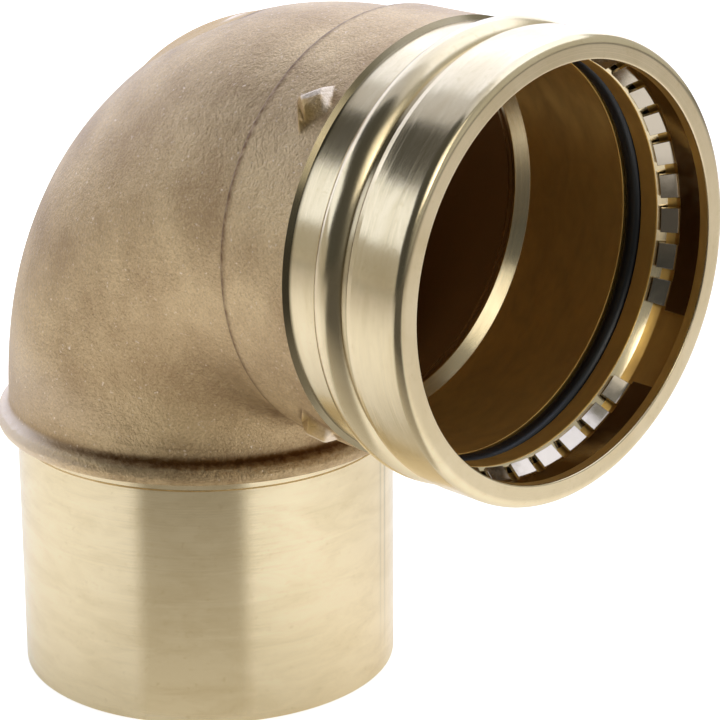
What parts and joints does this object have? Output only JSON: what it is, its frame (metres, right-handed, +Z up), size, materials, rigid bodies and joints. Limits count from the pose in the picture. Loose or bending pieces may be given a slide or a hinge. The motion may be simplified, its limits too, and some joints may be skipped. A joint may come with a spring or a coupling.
{
  "type": "press fit elbow",
  "caption": "Ninety degree cast bronze elbow with a plain machined spigot and a beaded press socket that holds a rubber seal and a toothed cutting ring.",
  "frame": {"origin": "on the ground under the middle of the elbow, in the plane of the spigot's end", "axes": "+Z runs up the spigot, +X runs out of the socket's mouth, and the elbow is symmetric about the plane Y = 0"},
  "size_m": [0.1986, 0.1238, 0.2081],
  "materials": {
    "bronze": "sand-cast and blasted on the bend, collar and boss, turned bright on the spigot and socket",
    "seal_rubber": "smooth black moulded rubber, lightly greased",
    "ring_steel": "bright rolled stainless strip, punched and bent"
  },
  "bodies": {
    "root": {"elbow_body": "bronze", "o_ring": "seal_rubber", "cutting_ring": "ring_steel"}
  },
  "joints": []
}
